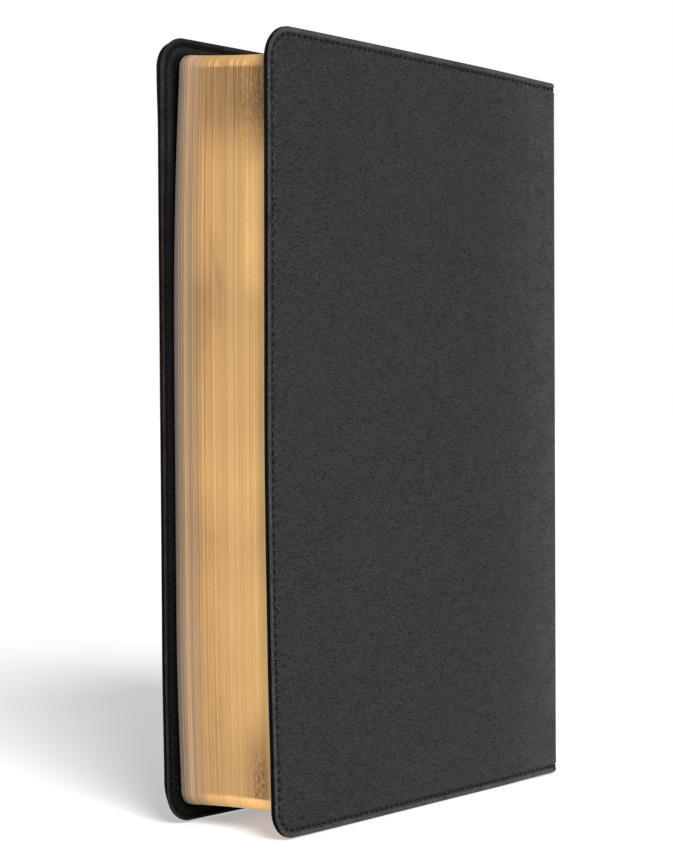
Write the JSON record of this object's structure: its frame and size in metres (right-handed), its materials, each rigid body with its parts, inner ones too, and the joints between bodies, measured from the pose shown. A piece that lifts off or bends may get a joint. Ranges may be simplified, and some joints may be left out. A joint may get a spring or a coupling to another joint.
{
  "type": "bible",
  "caption": "Closed limp leather book standing on its tail, with stitched overhanging covers, gilt pages and opening cover, text block and leaf hinges.",
  "frame": {"origin": "under the middle of the closed book, on the surface that its tail edge stands on", "axes": "+Z from tail to head, +X from the fore edge to the spine, +Y from the rear cover to the front cover"},
  "size_m": [0.155, 0.042, 0.234],
  "materials": {
    "black_leather": "matt fine pebble grain",
    "black_lining": "matt smooth",
    "flexible_board": "uncoated",
    "black_thread": "twisted thread",
    "gilt_pages": "thin paper with worn gilt edges",
    "endpaper": "uncoated",
    "mull_cloth": "open-weave cloth",
    "sewing_thread": "linen thread",
    "headband_cord": "woven cord"
  },
  "bodies": {
    "root": {"rear_section_01": "gilt_pages", "rear_section_02": "gilt_pages", "rear_section_03": "gilt_pages", "rear_section_04": "gilt_pages", "rear_section_05": "gilt_pages", "rear_section_06": "gilt_pages", "rear_section_07": "gilt_pages", "rear_section_08": "gilt_pages", "rear_section_09": "gilt_pages", "rear_section_10": "gilt_pages", "rear_section_11": "gilt_pages", "rear_section_12": "gilt_pages", "rear_sewing_thread": "sewing_thread", "spine_leather": "black_leather", "spine_head_stitching": "black_thread", "spine_tail_stitching": "black_thread", "spine_mull": "mull_cloth", "spine_lining_paper": "endpaper", "headband": "headband_cord", "tailband": "headband_cord"},
    "front_block": {"front_section_01": "gilt_pages", "front_section_02": "gilt_pages", "front_section_03": "gilt_pages", "front_section_04": "gilt_pages", "front_section_05": "gilt_pages", "front_section_06": "gilt_pages", "front_section_07": "gilt_pages", "front_section_08": "gilt_pages", "front_section_09": "gilt_pages", "front_section_10": "gilt_pages", "front_section_11": "gilt_pages", "front_section_12": "gilt_pages", "front_sewing_thread": "sewing_thread"},
    "front_cover": {"front_cover_leather": "black_leather", "front_cover_board": "flexible_board", "front_cover_lining": "black_lining", "front_cover_stitching": "black_thread"},
    "rear_cover": {"rear_cover_leather": "black_leather", "rear_cover_board": "flexible_board", "rear_cover_lining": "black_lining", "rear_cover_stitching": "black_thread"},
    "front_flyleaf": {"front_flyleaf": "endpaper"},
    "rear_flyleaf": {"rear_flyleaf": "endpaper"},
    "centre_leaf_1": {"centre_leaf_1": "gilt_pages"},
    "centre_leaf_2": {"centre_leaf_2": "gilt_pages"},
    "centre_leaf_3": {"centre_leaf_3": "gilt_pages"},
    "centre_leaf_4": {"centre_leaf_4": "gilt_pages"},
    "centre_leaf_5": {"centre_leaf_5": "gilt_pages"},
    "centre_leaf_6": {"centre_leaf_6": "gilt_pages"}
  },
  "joints": [
    {"name": "open_at_middle", "type": "hinge", "parent": "root", "child": "front_block", "pos_m": [0.0775, -0.0025, 0.117], "axis": [0, 0, -1], "range_deg": [0, 176], "deforming": ["spine_leather", "spine_mull", "spine_lining_paper", "headband", "tailband", "spine_head_stitching", "spine_tail_stitching"]},
    {"name": "front_cover_hinge", "type": "hinge", "parent": "front_block", "child": "front_cover", "pos_m": [0.076, 0.016, 0.117], "axis": [0, 0, -1], "range_deg": [0, 178]},
    {"name": "rear_cover_hinge", "type": "hinge", "parent": "root", "child": "rear_cover", "pos_m": [0.076, -0.021, 0.117], "axis": [0, 0, 1], "range_deg": [0, 178]},
    {"name": "front_flyleaf_hinge", "type": "hinge", "parent": "front_block", "child": "front_flyleaf", "pos_m": [0.076, 0.016, 0.117], "axis": [0, 0, -1], "range_deg": [0, 90]},
    {"name": "rear_flyleaf_hinge", "type": "hinge", "parent": "root", "child": "rear_flyleaf", "pos_m": [0.076, -0.021, 0.117], "axis": [0, 0, 1], "range_deg": [0, 90]},
    {"name": "turn_centre_leaf_1", "type": "hinge", "parent": "root", "child": "centre_leaf_1", "pos_m": [0.0775, -0.0025, 0.117], "axis": [0, 0, -1], "range_deg": [0, 27]},
    {"name": "turn_centre_leaf_2", "type": "hinge", "parent": "root", "child": "centre_leaf_2", "pos_m": [0.0775, -0.0025, 0.117], "axis": [0, 0, -1], "range_deg": [0, 52]},
    {"name": "turn_centre_leaf_3", "type": "hinge", "parent": "root", "child": "centre_leaf_3", "pos_m": [0.0775, -0.0025, 0.117], "axis": [0, 0, -1], "range_deg": [0, 77]},
    {"name": "turn_centre_leaf_4", "type": "hinge", "parent": "root", "child": "centre_leaf_4", "pos_m": [0.0775, -0.0025, 0.117], "axis": [0, 0, -1], "range_deg": [0, 102]},
    {"name": "turn_centre_leaf_5", "type": "hinge", "parent": "root", "child": "centre_leaf_5", "pos_m": [0.0775, -0.0025, 0.117], "axis": [0, 0, -1], "range_deg": [0, 127]},
    {"name": "turn_centre_leaf_6", "type": "hinge", "parent": "root", "child": "centre_leaf_6", "pos_m": [0.0775, -0.0025, 0.117], "axis": [0, 0, -1], "range_deg": [0, 152]}
  ],
  "couplings": [
    {"joint": "front_flyleaf_hinge", "follows": "front_cover_hinge", "ratio": 0.5},
    {"joint": "rear_flyleaf_hinge", "follows": "rear_cover_hinge", "ratio": 0.5},
    {"joint": "turn_centre_leaf_1", "follows": "open_at_middle", "ratio": 0.1429},
    {"joint": "turn_centre_leaf_2", "follows": "open_at_middle", "ratio": 0.2857},
    {"joint": "turn_centre_leaf_3", "follows": "open_at_middle", "ratio": 0.4286},
    {"joint": "turn_centre_leaf_4", "follows": "open_at_middle", "ratio": 0.5714},
    {"joint": "turn_centre_leaf_5", "follows": "open_at_middle", "ratio": 0.7143},
    {"joint": "turn_centre_leaf_6", "follows": "open_at_middle", "ratio": 0.8571}
  ]
}
